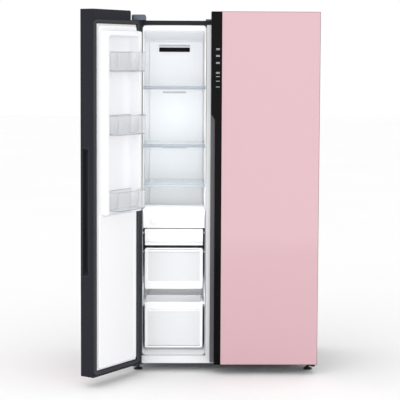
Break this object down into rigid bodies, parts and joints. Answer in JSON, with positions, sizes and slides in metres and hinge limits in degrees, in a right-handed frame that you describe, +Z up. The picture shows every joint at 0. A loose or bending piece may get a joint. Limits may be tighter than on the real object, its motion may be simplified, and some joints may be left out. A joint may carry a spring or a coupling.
{
  "type": "side by side refrigerator",
  "caption": "Tall two-door refrigerator: narrow freezer door open with bins, drawers and twist ice maker inside, wide glass-front door closed, dark grip channel and touch strip between.",
  "frame": {"origin": "on the floor, under the middle of the object's outline as drawn, with the freezer door open; the middle of the closed cabinet is 114 mm to the right of it and 146 mm behind it", "axes": "+Z up, -Y out of the doors, +X to the right of a person facing the doors"},
  "size_m": [1.1438, 0.9528, 1.778],
  "materials": {
    "tinted_glass": "gloss",
    "painted_steel": "satin",
    "white_steel": "satin",
    "bare_steel": "satin",
    "aluminium": "satin",
    "dark_plastic": "satin",
    "gloss_black": "gloss",
    "grey_plastic": "satin",
    "liner_white": "satin",
    "white_plastic": "satin",
    "insulation": "matte",
    "shelf_glass": "gloss",
    "clear_plastic": "gloss",
    "frosted_plastic": "matte",
    "seal_rubber": "matte",
    "black_metal": "satin"
  },
  "bodies": {
    "cabinet": {"cabinet_shell": "painted_steel", "back_plate": "bare_steel", "base_tray": "bare_steel", "cabinet_foam": "insulation", "freezer_liner": "liner_white", "fridge_liner": "liner_white", "mullion_trim": "white_steel", "front_rail": "white_steel", "top_hinges": "bare_steel", "bottom_hinges": "black_metal", "hinge_covers": "dark_plastic", "freezer_duct_cover": "liner_white", "vent_bezel": "gloss_black", "fridge_duct_cover": "liner_white", "evaporator": "aluminium", "fan_motors": "dark_plastic", "compressor": "black_metal", "condenser": "black_metal", "drain_pan": "white_plastic", "rear_cover": "black_metal", "mains_inlet": "dark_plastic", "freezer_shelf_1": "shelf_glass", "freezer_shelf_2": "shelf_glass", "freezer_shelf_3": "shelf_glass", "fridge_shelves": "shelf_glass", "shelf_trims": "white_plastic", "crisper_upper": "clear_plastic", "crisper_lower": "clear_plastic", "ice_maker_housing": "white_plastic"},
    "foot_left": {"levelling_foot_left": "black_metal"},
    "foot_right": {"levelling_foot_right": "black_metal"},
    "roller_left": {"rear_roller_left": "dark_plastic"},
    "roller_right": {"rear_roller_right": "dark_plastic"},
    "evaporator_fan_wheel": {"evaporator_fan": "white_plastic"},
    "condenser_fan_wheel": {"condenser_fan": "dark_plastic"},
    "ice_twister_left": {"ice_knob_left": "white_plastic", "ice_tray_left": "clear_plastic"},
    "ice_twister_right": {"ice_knob_right": "white_plastic", "ice_tray_right": "clear_plastic"},
    "ice_bucket_slider": {"ice_bucket": "white_plastic"},
    "drawer_upper": {"freezer_drawer_upper": "frosted_plastic"},
    "drawer_lower": {"freezer_drawer_lower": "frosted_plastic"},
    "freezer_door": {"freezer_door_glass": "tinted_glass", "freezer_door_frame": "painted_steel", "freezer_door_foam": "insulation", "freezer_door_liner": "liner_white", "freezer_door_gasket": "seal_rubber", "freezer_handle_pocket": "grey_plastic", "freezer_bin_1": "clear_plastic", "freezer_bin_2": "clear_plastic", "freezer_bin_3": "clear_plastic"},
    "fridge_door": {"fridge_door_glass": "tinted_glass", "fridge_door_frame": "painted_steel", "fridge_door_foam": "insulation", "fridge_door_liner": "liner_white", "fridge_door_gasket": "seal_rubber", "control_panel": "gloss_black", "handle_strip": "gloss_black", "handle_channel": "grey_plastic", "fridge_bins": "clear_plastic"}
  },
  "joints": [
    {"name": "freezer_door_hinge", "type": "hinge", "parent": "cabinet", "child": "freezer_door", "pos_m": [-0.328, -0.144, 0.9], "axis": [0, 0, -1], "range_deg": [-125, 5]},
    {"name": "fridge_door_hinge", "type": "hinge", "parent": "cabinet", "child": "fridge_door", "pos_m": [0.556, -0.144, 0.9], "axis": [0, 0, 1], "range_deg": [0, 130]},
    {"name": "drawer_upper_slide", "type": "slide", "parent": "cabinet", "child": "drawer_upper", "axis": [0, -1, 0], "range_m": [0, 0.3]},
    {"name": "drawer_lower_slide", "type": "slide", "parent": "cabinet", "child": "drawer_lower", "axis": [0, -1, 0], "range_m": [0, 0.24]},
    {"name": "ice_bucket_slide", "type": "slide", "parent": "cabinet", "child": "ice_bucket_slider", "axis": [0, -1, 0], "range_m": [0, 0.3]},
    {"name": "ice_twist_left", "type": "hinge", "parent": "cabinet", "child": "ice_twister_left", "pos_m": [-0.222, -0.076, 0.7565], "axis": [0, -1, 0], "range_deg": [0, 150], "stiffness_Nm_per_rad": 0.15},
    {"name": "ice_twist_right", "type": "hinge", "parent": "cabinet", "child": "ice_twister_right", "pos_m": [-0.046, -0.076, 0.7565], "axis": [0, -1, 0], "range_deg": [0, 150], "stiffness_Nm_per_rad": 0.15},
    {"name": "foot_left_screw", "type": "hinge", "parent": "cabinet", "child": "foot_left", "pos_m": [-0.311, -0.054, 0.03], "axis": [0, 0, 1], "continuous": true},
    {"name": "foot_right_screw", "type": "hinge", "parent": "cabinet", "child": "foot_right", "pos_m": [0.539, -0.054, 0.03], "axis": [0, 0, 1], "continuous": true},
    {"name": "roller_left_spin", "type": "hinge", "parent": "cabinet", "child": "roller_left", "pos_m": [-0.284, 0.426, 0.016], "axis": [1, 0, 0], "continuous": true},
    {"name": "roller_right_spin", "type": "hinge", "parent": "cabinet", "child": "roller_right", "pos_m": [0.512, 0.426, 0.016], "axis": [1, 0, 0], "continuous": true},
    {"name": "evaporator_fan_spin", "type": "hinge", "parent": "cabinet", "child": "evaporator_fan_wheel", "pos_m": [-0.134, 0.381, 1.13], "axis": [0, 1, 0], "continuous": true},
    {"name": "condenser_fan_spin", "type": "hinge", "parent": "cabinet", "child": "condenser_fan_wheel", "pos_m": [0.084, 0.366, 0.151], "axis": [1, 0, 0], "continuous": true}
  ]
}
